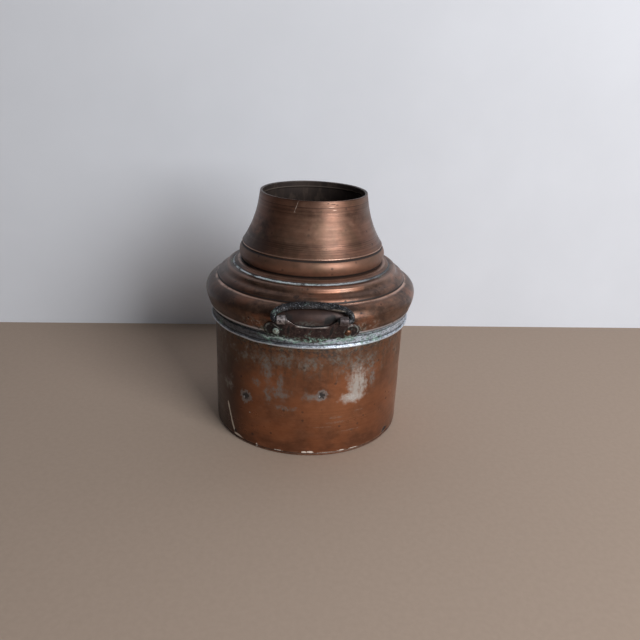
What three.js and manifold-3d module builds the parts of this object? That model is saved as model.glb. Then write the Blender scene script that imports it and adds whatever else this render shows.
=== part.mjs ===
import * as THREE from 'three';
import { mergeVertices } from 'three/addons/utils/BufferGeometryUtils.js';
import Module from 'manifold-3d';

const wasm = await Module();
wasm.setup();

// A wide-shouldered copper milk can with an open flared neck and two iron drop handles.
// Millimetres, +Z up, origin at the centre of the base, front handle facing -Y.

// Sheet metal and fits
const sheetWall = 1.5;
const seatGap = 0.3;

// Facets round the axis, along a curve and along a turned-over edge
const aroundSteps = 44;
const curveSteps = 3;
const edgeSteps = 2;

// Base pan: a dished disc whose joggled rim slides up inside the drum
const panCornerRadius = 2.5;
const panFootWidth = 11;
const panRise = 2.5;
const panRimHeight = 8;

// Drum: a rolled sheet lapped along one vertical seam at the back
const drumRadius = 120.8;
const drumTaper = 0.4;
const drumHeight = 144.4;
const drumTongue = 8;
const lapWidth = 14;
const lapThickness = 0.9;

// Tinned hoop over the joint of drum and shoulder
const hoopWall = 2.2;
const hoopHeight = 12.6;
const hoopBeadRadius = 1.5;
const hoopSolderHeight = 4.6;

// Shoulder: skirt, overhanging lip, deep bulge, crease, upper band, step and rolled top
const lipOverhang = 5.2;
const lipHeight = 1.8;
const bulgeSwell = 4.1;
const bulgeRise = 16.2;
const creaseRise = 15.3;
const creaseShare = 0.57;
const creaseDepth = 0.7;
const bulgeTopReach = 0.45;
const bulgeTopPull = 0.56;
const bulgeFootReach = 0.42;
const bulgeFootPull = 0.3;
const bulgeFullness = 0.4;
const bandRise = 8.4;
const stepShare = 0.26;
const rollRise = 7.8;

// Neck: flange on the shoulder, groove, half-round moulding, ridge and concave flare
const neckGrooveRadius = 86;
const flangeWidth = 10.5;
const flangeCrown = 4.2;
const flangeHollow = 0.7;
const collarSolderWidth = 2.4;
const mouldingHeight = 20.4;
const mouldingSwell = 4.3;
const ridgeLift = 1.4;
const ridgeOverhang = 1;
const flareHeight = 55.6;
const flareWaist = 0.135;
const flarePull = 0.3;
const throatPull = 0.33;
const hemHeight = 7;
const mouthRadius = 65.2;
const hemFlare = 1.2;

// Handle plate: a bat-wing of sheet copper riveted over the bulge
const plateWall = 1.7;
const plateStandOff = 2.1;
const lobeRadius = 9.6;
const lobeSpread = 45;
const lobeDrop = 17;
const plateTipDrop = 4;
const dipDrop = 9;
const dipHalfWidth = 17;
const dipSag = 1;
const wingStep = 2;
const wingStepRise = 1.5;
const tipBluntness = 0.7;
const tipEase = 0.5;
const waistRise = 0.8;

// Rolled knuckles and the bow that hinges in them
const axisStandOff = 4.5;
const axisRise = 4.5;
const pinRadius = 3.2;
const pinClearance = 0.35;
const knuckleWall = 1.65;
const knuckleLength = 9.6;
const knuckleSlope = 36;
const knuckleSides = 20;
const legSpread = 43;
const legGap = 0.6;
const pinTail = 1.4;
const bowDepth = 18;
const bowSquareness = 2.4;
const barWiden = 1.28;
const bowRestGap = 0.3;
const bowSteps = 34;

// Rivets through plate and shoulder, closed over a rove inside
const rivetSpread = 40.2;
const rivetDrop = 18;
const shankRadius = 2.1;
const holeClearance = 0.3;
const headRadius = 4.3;
const headHeight = 2.7;
const roveRadius = 5;
const roveThickness = 1.1;
const tailRadius = 3.3;
const tailHeight = 1.7;
const domeFullness = 0.8;
const rivetSides = 12;

// Heights that follow from the pieces stacked below
const hoopTop = drumHeight + hoopHeight;
const lipBottom = hoopTop + hoopSolderHeight;
const lipTop = lipBottom + lipHeight;
const bulgeHeight = lipTop + bulgeRise;
const creaseHeight = bulgeHeight + creaseRise;
const stepHeight = creaseHeight + bandRise;
const shoulderTop = stepHeight + rollRise;
const flangeBottom = shoulderTop + seatGap;
const grooveHeight = flangeBottom + flangeCrown;
const mouldingTop = grooveHeight + mouldingHeight;
const ridgeHeight = mouldingTop + ridgeLift;
const hemBottom = ridgeHeight + flareHeight;
const mouthHeight = hemBottom + hemHeight;

// Radii that follow from the drum outwards and from the neck outwards
const skirtRadius = drumRadius + seatGap + sheetWall;
const hoopInner = skirtRadius + seatGap;
const hoopRadius = hoopInner + hoopWall;
const lipRadius = skirtRadius + lipOverhang;
const bulgeRadius = lipRadius + bulgeSwell;
const flangeRadius = neckGrooveRadius + flangeWidth;
const rollInner = flangeRadius + collarSolderWidth + 2 * seatGap;
const stepRadius = THREE.MathUtils.lerp(rollInner, bulgeRadius, stepShare);
const creaseRadius = THREE.MathUtils.lerp(rollInner, bulgeRadius, creaseShare);
const ridgeRadius = neckGrooveRadius + ridgeOverhang;

// Hinge axis and the slope of the plate that climbs to it
const axisRadius = bulgeRadius + axisStandOff;
const axisHeight = bulgeHeight + axisRise;
const knuckleRadius = pinRadius + pinClearance + knuckleWall;
const knuckleEnd = legSpread - pinRadius - legGap;
const bowBend = legSpread - knuckleEnd;
const plateKneeRadius = hoopRadius + hoopBeadRadius / 2 + seatGap;
const plateKneeHeight = hoopTop + seatGap;
const plateRun = bulgeRadius + plateStandOff - plateKneeRadius;
const plateSlope = plateRun / (bulgeHeight - plateKneeHeight);

const copper = { color: 0x9a6a4c, roughness: 0.42, metalness: 0.9 };
const tin = { color: 0x8d9698, roughness: 0.55, metalness: 0.8 };
const iron = { color: 0x4c4c4e, roughness: 0.75, metalness: 0.7 };

function mesh(name, geometry, look) {
  const item = new THREE.Mesh(geometry, new THREE.MeshStandardMaterial(look));
  item.name = name;
  return item;
}

// Turns a section of (radius, height) points about the Z axis. The outer side of the
// section runs downwards, or inwards along the underside.
function revolve(section) {
  const geometry = new THREE.LatheGeometry([...section].reverse(), aroundSteps);
  return geometry.rotateX(Math.PI / 2);
}

// Closes a sheet section: the outer line, then the same line set in by the wall,
// with the inside on the right hand of the outer line.
function sheetSection(outer, wallAt) {
  const sideOf = (from, to) => {
    const along = to.clone().sub(from).normalize();
    return new THREE.Vector2(along.y, -along.x);
  };
  const distinct = (index, step) => {
    let at = index + step;
    while (outer[at] && outer[at].distanceTo(outer[index]) < 1e-6) at += step;
    return outer[at];
  };
  const inner = outer.map((point, index) => {
    const before = distinct(index, -1);
    const after = distinct(index, 1);
    const sideIn = sideOf(before ?? point, before ? point : after);
    const sideOut = sideOf(after ? point : before, after ?? point);
    const miter = sideIn.clone().add(sideOut).divideScalar(1 + sideIn.dot(sideOut));
    return point.clone().addScaledVector(miter, wallAt(index));
  });
  return [...outer, ...inner.reverse(), outer[0]];
}

// Booleans work on closed solids with shared vertices
function toSolid(geometry) {
  const bare = geometry.clone();
  bare.deleteAttribute('normal');
  bare.deleteAttribute('uv');
  const merged = mergeVertices(bare, 1e-4);
  return new wasm.Manifold(new wasm.Mesh({
    numProp: 3,
    vertProperties: new Float32Array(merged.attributes.position.array),
    triVerts: new Uint32Array(merged.index.array),
  }));
}

function toGeometry(solid) {
  const { vertProperties, triVerts } = solid.getMesh();
  const geometry = new THREE.BufferGeometry();
  geometry.setAttribute('position', new THREE.BufferAttribute(vertProperties, 3));
  geometry.setIndex(new THREE.BufferAttribute(triVerts, 1));
  const shaded = geometry.toNonIndexed();
  shaded.computeVertexNormals();
  return shaded;
}

function basePan() {
  const rimRadius = drumRadius - drumTaper - sheetWall - seatGap;
  const cornerOuter = drumRadius - drumTaper - seatGap;
  const footOuter = cornerOuter - panCornerRadius;
  const footInner = footOuter - panFootWidth;
  const line = new THREE.Path();
  line.moveTo(rimRadius, panCornerRadius + sheetWall + panRimHeight);
  line.lineTo(rimRadius, panCornerRadius + sheetWall);
  line.lineTo(cornerOuter, panCornerRadius);
  line.absarc(footOuter, panCornerRadius, panCornerRadius, 0, -Math.PI / 2, true);
  line.lineTo(footInner, 0);
  line.lineTo(footInner - panRise, panRise);
  line.lineTo(0, panRise);
  // The section starts and ends on the axis: inside face outwards, then underside inwards
  const underside = line.getPoints(edgeSteps);
  const closed = sheetSection(underside, () => sheetWall);
  const inside = closed.slice(underside.length, -1);
  return mesh('base_pan', revolve([...inside, ...underside]), copper);
}

function drumWall() {
  const bottom = panCornerRadius + sheetWall + seatGap;
  const top = drumHeight + drumTongue;
  const line = [
    new THREE.Vector2(drumRadius, top),
    new THREE.Vector2(drumRadius - drumTaper, bottom),
  ];
  const shell = toSolid(revolve(sheetSection(line, () => sheetWall)));
  // The lap stands proud over a narrow strip at the back and roots in the sheet below it
  const lapTop = drumHeight - seatGap;
  const lapOuter = drumRadius + lapThickness;
  const lapLine = [
    new THREE.Vector2(lapOuter, lapTop),
    new THREE.Vector2(lapOuter - drumTaper, bottom),
  ];
  const ring = toSolid(revolve(sheetSection(lapLine, () => 2 * lapThickness)));
  const strip = new THREE.BoxGeometry(lapWidth, drumRadius, 2 * drumHeight);
  strip.translate(0, drumRadius, 0);
  const lap = ring.intersect(toSolid(strip));
  return mesh('drum_wall', toGeometry(shell.add(lap)), copper);
}

function seamHoop() {
  const bead = new THREE.Vector2(hoopRadius - hoopBeadRadius / 2, drumHeight + hoopBeadRadius);
  const outline = new THREE.Path();
  outline.moveTo(hoopInner, hoopTop);
  outline.lineTo(hoopRadius, hoopTop);
  outline.lineTo(hoopRadius - hoopWall / 6, bead.y + 2 * hoopBeadRadius);
  outline.absarc(bead.x, bead.y, hoopBeadRadius, Math.PI / 3, -Math.PI / 2, true);
  outline.lineTo(hoopInner, drumHeight);
  outline.closePath();
  return mesh('seam_hoop', revolve(outline.getPoints(edgeSteps)), tin);
}

function hoopSolder() {
  const foot = hoopTop + seatGap;
  const head = lipBottom - seatGap;
  const outline = new THREE.Path();
  outline.moveTo(hoopInner, head);
  outline.lineTo(lipRadius - 2 * seatGap, head);
  outline.quadraticCurveTo(hoopRadius, head, hoopRadius, foot);
  outline.lineTo(hoopInner, foot);
  outline.closePath();
  return mesh('hoop_solder', revolve(outline.getPoints(curveSteps)), tin);
}

// The shoulder's outer line, from the neck opening out and down to the skirt's edge
function shoulderLine() {
  const creaseLip = creaseHeight - creaseDepth;
  const stepInner = stepRadius - sheetWall / 2;
  const line = new THREE.Path();
  line.moveTo(neckGrooveRadius - sheetWall - seatGap, shoulderTop);
  line.lineTo(rollInner, shoulderTop);
  line.quadraticCurveTo(stepInner, shoulderTop, stepInner, stepHeight + sheetWall);
  line.lineTo(stepRadius, stepHeight);
  line.quadraticCurveTo(
    creaseRadius - 2 * creaseDepth, stepHeight - sheetWall,
    creaseRadius, creaseHeight + creaseDepth,
  );
  line.lineTo(creaseRadius - creaseDepth / 2, creaseHeight);
  line.lineTo(creaseRadius + creaseDepth, creaseLip);
  line.bezierCurveTo(
    THREE.MathUtils.lerp(creaseRadius, bulgeRadius, bulgeTopReach), creaseLip - creaseDepth,
    bulgeRadius, bulgeHeight + creaseRise * bulgeTopPull,
    bulgeRadius, bulgeHeight,
  );
  line.bezierCurveTo(
    bulgeRadius, bulgeHeight - bulgeRise * bulgeFullness,
    lipRadius + bulgeSwell * bulgeFootReach, lipTop + bulgeRise * bulgeFootPull,
    lipRadius, lipTop,
  );
  line.lineTo(lipRadius - seatGap, lipBottom);
  line.lineTo(skirtRadius, lipBottom - seatGap);
  line.lineTo(skirtRadius, drumHeight + hoopBeadRadius);
  return line.getPoints(curveSteps);
}

// Places a rivet's own frame: its axis along +Z, out of the plate's face, at (side, height)
function rivetFrame(side) {
  const height = axisHeight - rivetDrop;
  const faceRadius = plateKneeRadius + plateWall + (height - plateKneeHeight) * plateSlope;
  const frame = new THREE.Group();
  frame.position.set(0, -faceRadius, height);
  frame.rotation.x = Math.PI / 2 + Math.atan(plateSlope);
  const turn = new THREE.Group();
  turn.rotation.z = side * Math.asin(rivetSpread / faceRadius);
  turn.add(frame);
  turn.updateMatrixWorld(true);
  return { turn, frame };
}

function rivetHoles() {
  const holes = [];
  for (const side of [-1, 1]) {
    const { frame } = rivetFrame(side);
    const holeRadius = shankRadius + holeClearance;
    const cutter = new THREE.CylinderGeometry(
      holeRadius, holeRadius, 10 * headRadius, rivetSides,
    );
    cutter.rotateX(Math.PI / 2);
    cutter.applyMatrix4(frame.matrixWorld);
    holes.push(toSolid(cutter));
  }
  return holes[0].add(holes[1]);
}

function shoulderShell() {
  const shell = toSolid(revolve(sheetSection(shoulderLine(), () => sheetWall)));
  const front = rivetHoles();
  const back = front.rotate([0, 0, 180]);
  return mesh('shoulder_shell', toGeometry(shell.subtract(front).subtract(back)), copper);
}

function collarSolder() {
  const inner = flangeRadius + seatGap;
  const outline = new THREE.Path();
  outline.moveTo(inner, flangeBottom + sheetWall);
  outline.quadraticCurveTo(
    inner + seatGap, flangeBottom + seatGap,
    inner + collarSolderWidth, flangeBottom,
  );
  outline.lineTo(inner, flangeBottom);
  outline.closePath();
  return mesh('collar_solder', revolve(outline.getPoints(edgeSteps)), tin);
}

function neck() {
  const rimRadius = mouthRadius + hemFlare;
  const half = mouldingHeight / 2;
  const arcRadius = (half * half + mouldingSwell * mouldingSwell) / (2 * mouldingSwell);
  const arcHalf = Math.asin(half / arcRadius);
  const arcCentre = neckGrooveRadius + mouldingSwell - arcRadius;
  const hem = [
    new THREE.Vector2(mouthRadius, mouthHeight),
    new THREE.Vector2(rimRadius, hemBottom),
  ];
  const line = new THREE.Path();
  line.moveTo(rimRadius, hemBottom);
  line.bezierCurveTo(
    rimRadius + hemFlare * 2, hemBottom - flareHeight * throatPull,
    ridgeRadius * (1 - flareWaist), ridgeHeight + flareHeight * flarePull,
    ridgeRadius, ridgeHeight,
  );
  line.lineTo(neckGrooveRadius, mouldingTop);
  line.absarc(arcCentre, grooveHeight + half, arcRadius, arcHalf, -arcHalf, true);
  line.quadraticCurveTo(
    neckGrooveRadius + flangeWidth * flangeHollow, grooveHeight,
    flangeRadius, flangeBottom + sheetWall,
  );
  const outer = [...hem, ...line.getPoints(curveSteps)];
  const section = sheetSection(outer, (index) => (index < hem.length ? 2 * sheetWall : sheetWall));
  return mesh('neck', revolve(section), copper);
}

// Outline of the plate seen from the front, wings out to round lobes around the rivets
function plateOutline() {
  const lobeHeight = axisHeight - lobeDrop;
  const tip = plateKneeHeight - plateTipDrop;
  const dip = axisHeight - dipDrop;
  const flat = lobeHeight - lobeRadius;
  const half = new THREE.Path();
  half.moveTo(0, tip);
  half.quadraticCurveTo(
    dipHalfWidth * tipBluntness, tip + tipEase,
    lobeSpread / 2, flat + waistRise,
  );
  half.lineTo(lobeSpread, flat);
  half.absarc(lobeSpread, lobeHeight, lobeRadius, -Math.PI / 2, Math.PI / 2, false);
  half.lineTo(lobeSpread - lobeRadius / 2, lobeHeight + lobeRadius);
  half.lineTo(dipHalfWidth + wingStep, dip + wingStepRise);
  half.quadraticCurveTo(dipHalfWidth, dip, 0, dip - dipSag);
  const right = half.getPoints(curveSteps);
  const left = right.slice(1, -1).map(({ x, y }) => new THREE.Vector2(-x, y)).reverse();
  return new THREE.Shape([...right, ...left]);
}

// The tongue that leaves the plate and climbs to the back of its knuckle
function tongue(side) {
  const inner = dipHalfWidth;
  const outer = knuckleEnd;
  const foot = axisHeight - lobeDrop + lobeRadius / 2;
  const backY = -axisRadius + knuckleRadius - plateWall / 2;
  const width = outer - inner;
  const geometry = new THREE.BoxGeometry(width, plateWall, 1, curveSteps, 1, curveSteps);
  const place = geometry.attributes.position;
  for (let i = 0; i < place.count; i += 1) {
    const x = side * (inner + width / 2) + place.getX(i);
    const climb = place.getZ(i) + 0.5;
    const z = foot + climb * (axisHeight - foot);
    const coneRadius = plateKneeRadius + plateWall / 2 + (z - plateKneeHeight) * plateSlope;
    const coneY = -Math.sqrt(coneRadius * coneRadius - x * x);
    place.setXYZ(i, x, THREE.MathUtils.lerp(coneY, backY, climb * climb) + place.getY(i), z);
  }
  return toSolid(geometry);
}

function knuckle(side) {
  const barrel = new THREE.CylinderGeometry(
    knuckleRadius, knuckleRadius, knuckleLength, knuckleSides,
  );
  barrel.rotateZ(Math.PI / 2);
  barrel.translate(side * (knuckleEnd - knuckleLength / 2), -axisRadius, axisHeight);
  return toSolid(barrel);
}

// Trims the tongue's inner edge to a slope that rises from the dip to the knuckle
function slopeCutter(side) {
  const reach = legSpread;
  const corner = knuckleEnd - knuckleLength;
  const block = new THREE.BoxGeometry(reach, reach, reach);
  block.translate(-side * reach / 2, 0, reach / 2);
  block.rotateY(side * THREE.MathUtils.degToRad(90 - knuckleSlope) - side * Math.PI / 2);
  block.translate(side * corner, -axisRadius, axisHeight);
  return toSolid(block);
}

function handlePlate() {
  const top = axisHeight + knuckleRadius;
  const bottom = plateKneeHeight - 2 * plateTipDrop;
  const faceRadius = plateKneeRadius + plateWall;
  const face = [
    new THREE.Vector2(faceRadius + (top - plateKneeHeight) * plateSlope, top),
    new THREE.Vector2(faceRadius, plateKneeHeight),
    new THREE.Vector2(faceRadius, bottom),
  ];
  const cone = toSolid(revolve(sheetSection(face, () => plateWall)));
  const outline = new THREE.ExtrudeGeometry(plateOutline(), {
    depth: axisRadius,
    bevelEnabled: false,
  });
  outline.rotateX(Math.PI / 2);
  let plate = cone.intersect(toSolid(outline));
  for (const side of [-1, 1]) {
    const wing = tongue(side).add(knuckle(side)).subtract(slopeCutter(side));
    plate = plate.add(wing);
  }
  const boreRadius = pinRadius + pinClearance;
  const bore = new THREE.CylinderGeometry(boreRadius, boreRadius, 3 * legSpread, knuckleSides);
  bore.rotateZ(Math.PI / 2);
  bore.translate(0, -axisRadius, axisHeight);
  return toGeometry(plate.subtract(toSolid(bore)).subtract(rivetHoles()));
}

// Centreline of the bow in its own plane, hinge axis along X at height zero
function bowLine() {
  const at = (x, z) => new THREE.Vector3(x, 0, z);
  const arch = [];
  for (let i = 0; i <= bowSteps / 2; i += 1) {
    const angle = (2 * Math.PI * i) / bowSteps;
    const along = Math.cos(angle);
    const up = Math.abs(Math.sin(angle)) ** (2 / bowSquareness);
    const x = -Math.sign(along) * legSpread * Math.abs(along) ** (2 / bowSquareness);
    arch.push(at(x, bowBend + (bowDepth - bowBend) * up));
  }
  const elbow = (side, from, to) => new THREE.QuadraticBezierCurve3(from, at(side * legSpread, 0), to);
  const pinEnd = knuckleEnd - knuckleLength - pinTail;
  const path = new THREE.CurvePath();
  path.add(new THREE.LineCurve3(at(-pinEnd, 0), at(-knuckleEnd, 0)));
  path.add(elbow(-1, at(-knuckleEnd, 0), at(-legSpread, bowBend)));
  path.add(new THREE.CatmullRomCurve3(arch));
  path.add(elbow(1, at(legSpread, bowBend), at(knuckleEnd, 0)));
  path.add(new THREE.LineCurve3(at(knuckleEnd, 0), at(pinEnd, 0)));
  return path;
}

// The bow leans back until its grip comes to rest a hair off the shoulder
function leanOnShoulder() {
  const gripRadius = pinRadius * barWiden + bowRestGap;
  const step = THREE.MathUtils.degToRad(0.25);
  const outline = shoulderLine();
  const clearAt = (lean) => {
    const grip = new THREE.Vector2(
      axisRadius - bowDepth * Math.sin(lean),
      axisHeight + bowDepth * Math.cos(lean),
    );
    return outline.every((point, index) => {
      const next = outline[index + 1] ?? point;
      const along = next.clone().sub(point);
      const reach = grip.clone().sub(point);
      const share = THREE.MathUtils.clamp(reach.dot(along) / (along.lengthSq() || 1), 0, 1);
      return reach.distanceTo(along.multiplyScalar(share)) >= gripRadius;
    });
  };
  let lean = 0;
  while (lean < Math.PI / 2 && clearAt(lean + step)) lean += step;
  return lean;
}

function bow() {
  const path = bowLine();
  const section = new THREE.Shape();
  section.absarc(0, 0, pinRadius, 0, 2 * Math.PI, false);
  const geometry = new THREE.ExtrudeGeometry(section, {
    steps: bowSteps,
    curveSegments: curveSteps + 1,
    bevelEnabled: false,
    extrudePath: path,
  });
  // The bar is forged wider in the bow's plane towards the middle of its grip
  const place = geometry.attributes.position;
  const centre = path.getSpacedPoints(8 * bowSteps);
  const closer = (point) => (best, other) => (
    other.distanceToSquared(point) < best.distanceToSquared(point) ? other : best
  );
  const point = new THREE.Vector3();
  for (let i = 0; i < place.count; i += 1) {
    point.fromBufferAttribute(place, i);
    const near = centre.reduce(closer(point));
    const grow = 1 + (barWiden - 1) * THREE.MathUtils.smoothstep(near.z, bowBend, bowDepth);
    place.setX(i, near.x + (point.x - near.x) * grow);
    place.setZ(i, near.z + (point.z - near.z) * grow);
  }
  return geometry;
}

// Rivet on its own axis: the head sits on the plate's face at height zero
function rivet() {
  const tailFace = -plateWall - plateStandOff - sheetWall - roveThickness - 2 * seatGap;
  const line = new THREE.Path();
  line.moveTo(0, seatGap + headHeight);
  line.quadraticCurveTo(headRadius * domeFullness, seatGap + headHeight, headRadius, seatGap);
  line.lineTo(shankRadius, seatGap);
  line.lineTo(shankRadius, tailFace);
  line.lineTo(tailRadius, tailFace);
  line.quadraticCurveTo(tailRadius * domeFullness, tailFace - tailHeight, 0, tailFace - tailHeight);
  const geometry = new THREE.LatheGeometry(line.getPoints(curveSteps).reverse(), rivetSides);
  return geometry.rotateX(Math.PI / 2);
}

function rove() {
  const top = -plateWall - plateStandOff - sheetWall - seatGap;
  const inner = shankRadius + holeClearance;
  const section = [
    new THREE.Vector2(inner, top),
    new THREE.Vector2(roveRadius, top),
    new THREE.Vector2(roveRadius, top - roveThickness),
    new THREE.Vector2(inner, top - roveThickness),
    new THREE.Vector2(inner, top),
  ];
  const geometry = new THREE.LatheGeometry(section.reverse(), rivetSides);
  return geometry.rotateX(Math.PI / 2);
}

function handle(place, turn) {
  const assembly = new THREE.Group();
  assembly.rotation.z = turn;
  assembly.add(mesh(`${place}_handle_plate`, handlePlate(), copper));
  const swing = new THREE.Group();
  swing.position.set(0, -axisRadius, axisHeight);
  swing.rotation.x = -leanOnShoulder();
  swing.add(mesh(`${place}_handle_bow`, bow(), iron));
  assembly.add(swing);
  for (const [hand, side] of [['left', -1], ['right', 1]]) {
    const seat = rivetFrame(side);
    seat.frame.add(mesh(`${place}_rivet_${hand}`, rivet(), copper));
    seat.frame.add(mesh(`${place}_rove_${hand}`, rove(), copper));
    assembly.add(seat.turn);
  }
  return assembly;
}

const milkCan = new THREE.Group();
milkCan.add(basePan(), drumWall(), seamHoop(), hoopSolder(), shoulderShell(), collarSolder(), neck());
milkCan.add(handle('front', 0), handle('back', Math.PI));

export default milkCan;
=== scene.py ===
import math

import bmesh
import bpy
from mathutils import Matrix, Vector, noise


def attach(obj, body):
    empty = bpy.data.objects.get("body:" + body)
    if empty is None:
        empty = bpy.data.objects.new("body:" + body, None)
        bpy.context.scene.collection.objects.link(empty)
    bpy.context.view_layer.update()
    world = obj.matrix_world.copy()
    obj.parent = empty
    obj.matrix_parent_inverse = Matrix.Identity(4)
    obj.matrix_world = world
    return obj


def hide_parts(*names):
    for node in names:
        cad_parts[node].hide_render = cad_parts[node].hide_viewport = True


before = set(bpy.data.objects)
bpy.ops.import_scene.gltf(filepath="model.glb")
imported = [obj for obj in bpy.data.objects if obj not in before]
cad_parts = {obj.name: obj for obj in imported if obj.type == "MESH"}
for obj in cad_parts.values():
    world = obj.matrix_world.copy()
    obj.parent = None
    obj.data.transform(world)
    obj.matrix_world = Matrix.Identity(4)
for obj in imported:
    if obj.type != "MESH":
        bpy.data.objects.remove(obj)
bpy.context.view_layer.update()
print("frame loaded:", len(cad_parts), "solids")

mm = 0.001

# Sizes of the can in millimetres, as the solids have them
can = {
    "sheet": 1.5,
    "gap": 0.3,
    "drumRadius": 120.8,
    "drumFoot": 120.4,
    "drumTop": 152.4,
    "drumBottom": 4.3,
    "hoopBottom": 144.4,
    "hoopTop": 157,
    "hoopInner": 122.9,
    "hoopOuter": 125.1,
    "skirtRadius": 122.6,
    "skirtBottom": 145.9,
    "lipRadius": 127.8,
    "lipBottom": 161.6,
    "lipTop": 163.4,
    "bulgeRadius": 131.9,
    "bulgeHeight": 179.6,
    "creaseHeight": 194.9,
    "creaseDepth": 0.7,
    "stepHeight": 203.3,
    "shoulderTop": 211.1,
    "rollInner": 99.5,
    "grooveRadius": 86,
    "flangeRadius": 96.5,
    "flangeBottom": 211.4,
    "grooveHeight": 215.6,
    "mouldingTop": 236,
    "mouldingSwell": 4.3,
    "ridgeRadius": 87,
    "ridgeHeight": 237.4,
    "hemBottom": 293,
    "mouthRadius": 65.2,
    "mouthHeight": 300,
    "hemFlare": 1.2,
}
hinge = {"radius": 136.4, "height": 184.1, "lean": 44.25}


def mix(a, b, share):
    return a + (b - a) * share


def smooth(low, high, value):
    t = min(max((value - low) / (high - low), 0), 1)
    return t * t * (3 - 2 * t)


def waver(x, y, z, size):
    return noise.noise(Vector((x / size, y / size, z / size)))


def bezier(points, steps):
    out = []
    for i in range(steps + 1):
        row = [Vector(p) for p in points]
        while len(row) > 1:
            row = [row[k].lerp(row[k + 1], i / steps) for k in range(len(row) - 1)]
        out.append((row[0].x, row[0].y))
    return out


def arc(cx, cy, radius, start, end, steps):
    turn = [math.radians(mix(start, end, i / steps)) for i in range(steps + 1)]
    return [(cx + radius * math.cos(a), cy + radius * math.sin(a)) for a in turn]


def straight(a, b, steps):
    return [(mix(a[0], b[0], i / steps), mix(a[1], b[1], i / steps)) for i in range(steps + 1)]


def distinct(points):
    out = [points[0]]
    for p in points[1:]:
        if math.dist(p, out[-1]) > 1e-4:
            out.append(p)
    return out


# Closes a sheet's section: the outer line, then the same line set in by the wall on its right
def sheetSection(outer, wall=lambda i: can["sheet"]):
    outer = distinct(outer)
    inner = []
    for i, p in enumerate(outer):
        here = Vector(p)
        first = here - Vector(outer[i - 1]) if i else Vector(outer[1]) - here
        last = Vector(outer[i + 1]) - here if i < len(outer) - 1 else first
        sides = [Vector((v.y, -v.x)).normalized() for v in (first, last)]
        miter = (sides[0] + sides[1]) / (1 + sides[0].dot(sides[1]))
        inner.append(tuple(here + miter * wall(i)))
    return outer + inner[::-1]


# Rounds the corners of a closed section that turn by more than the limit in degrees
def soften(points, radius, limit=25):
    points = distinct(points)
    out = []
    for i, p in enumerate(points):
        here = Vector(p)
        back = Vector(points[i - 1]) - here
        ahead = Vector(points[(i + 1) % len(points)]) - here
        if math.degrees(math.pi - back.angle(ahead, math.pi)) < limit:
            out.append(p)
            continue
        reach = min(radius, back.length * 0.45, ahead.length * 0.45)
        ends = (here + back.normalized() * reach, here, here + ahead.normalized() * reach)
        out += bezier(ends, 4)
    return out


# Quads of a section of so many rows carried round in so many steps
def quadsRound(rows, steps, closed=True):
    faces = []
    for s in range(steps):
        near, far = s * rows, (s + 1) % steps * rows
        for k in range(rows if closed else rows - 1):
            m = (k + 1) % rows
            faces.append((near + k, far + k, far + m, near + m))
    return faces


def newObject(name, data):
    made = bpy.data.objects.new(name, data)
    bpy.context.scene.collection.objects.link(made)
    return made


def newPiece(name, verts, faces, sharp=35):
    mesh = bpy.data.meshes.new(name)
    mesh.from_pydata([tuple(c * mm for c in v) for v in verts], [], faces)
    mesh.validate()
    tidy = bmesh.new()
    tidy.from_mesh(mesh)
    bmesh.ops.recalc_face_normals(tidy, faces=tidy.faces)
    tidy.to_mesh(mesh)
    tidy.free()
    mesh.shade_smooth()
    mesh.set_sharp_from_angle(angle=math.radians(sharp))
    return newObject(name, mesh)


# Turns a closed section about the upright axis; shape() moves each point a little, with
# side as degrees from the front
def turned(name, section, steps, shape):
    verts = []
    for s in range(steps):
        turn = 2 * math.pi * s / steps
        side = (math.degrees(turn) + 180) % 360 - 180
        for r, z in section:
            r, z = shape(r, z, r * math.sin(turn), -r * math.cos(turn), side)
            verts.append((r * math.sin(turn), -r * math.cos(turn), z))
    return newPiece(name, verts, quadsRound(len(section), steps))


# How much of a dent shows at a place: 1 in its middle, 0 far off
def dented(side, z, at, high, wide, tall):
    return math.exp(-(((side - at) / wide) ** 2 + ((z - high) / tall) ** 2))


panSettings = {
    "corner": 2.5,
    "foot": 11,
    "dish": 2.5,
    "rim": 8,
    "dent": (56, 4, 2.6, 4),
    "dentDepth": 1.2,
    "buckle": 0.5,
    "steps": 240,
}


def makeBasePan():
    s = panSettings
    high, dish = s["corner"], s["dish"]
    rim = can["drumFoot"] - can["sheet"] - can["gap"]
    foot = can["drumFoot"] - can["gap"] - high
    inner = foot - s["foot"]
    outer = [(rim, high + can["sheet"] + s["rim"]), (rim, high + can["sheet"])]
    outer += arc(foot, high, high, 0, -90, 12)
    outer += straight((foot, 0), (inner, 0), 4)
    outer += bezier(((inner, 0), (inner - 1.5, 0), (inner - 1, dish), (inner - 3, dish)), 6)
    outer += straight((inner - 3, dish), (0.4, dish), 8)
    section = [(max(r, 0.02), z) for r, z in sheetSection(outer)]

    def shape(r, z, x, y, side):
        if r < 90:
            return r, z + s["buckle"] * waver(x, -y, 3, 40)
        dent = s["dentDepth"] * dented(side, z, *s["dent"]) if r > 108 else 0
        return r - dent + min(0.12 * waver(x, -y, z, 18), 0.1), z

    pan = turned("basePan", section, s["steps"], shape)
    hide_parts("base_pan")
    return pan


# A dent is degrees from the front, height, half width, half height and depth
drumSettings = {
    "steps": 360,
    "rows": 70,
    "waver": 0.35,
    "lapHalf": 3.32,
    "lapRise": 0.9,
    "dents": [(-38.9, 65, 3.2, 5, 0.5), (6.6, 81, 3, 4, 0.4), (56, 7, 3, 4.5, 1.2)],
    "tones": ((126, 84, 62), (150, 104, 78), (170, 119, 92)),
}


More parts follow.
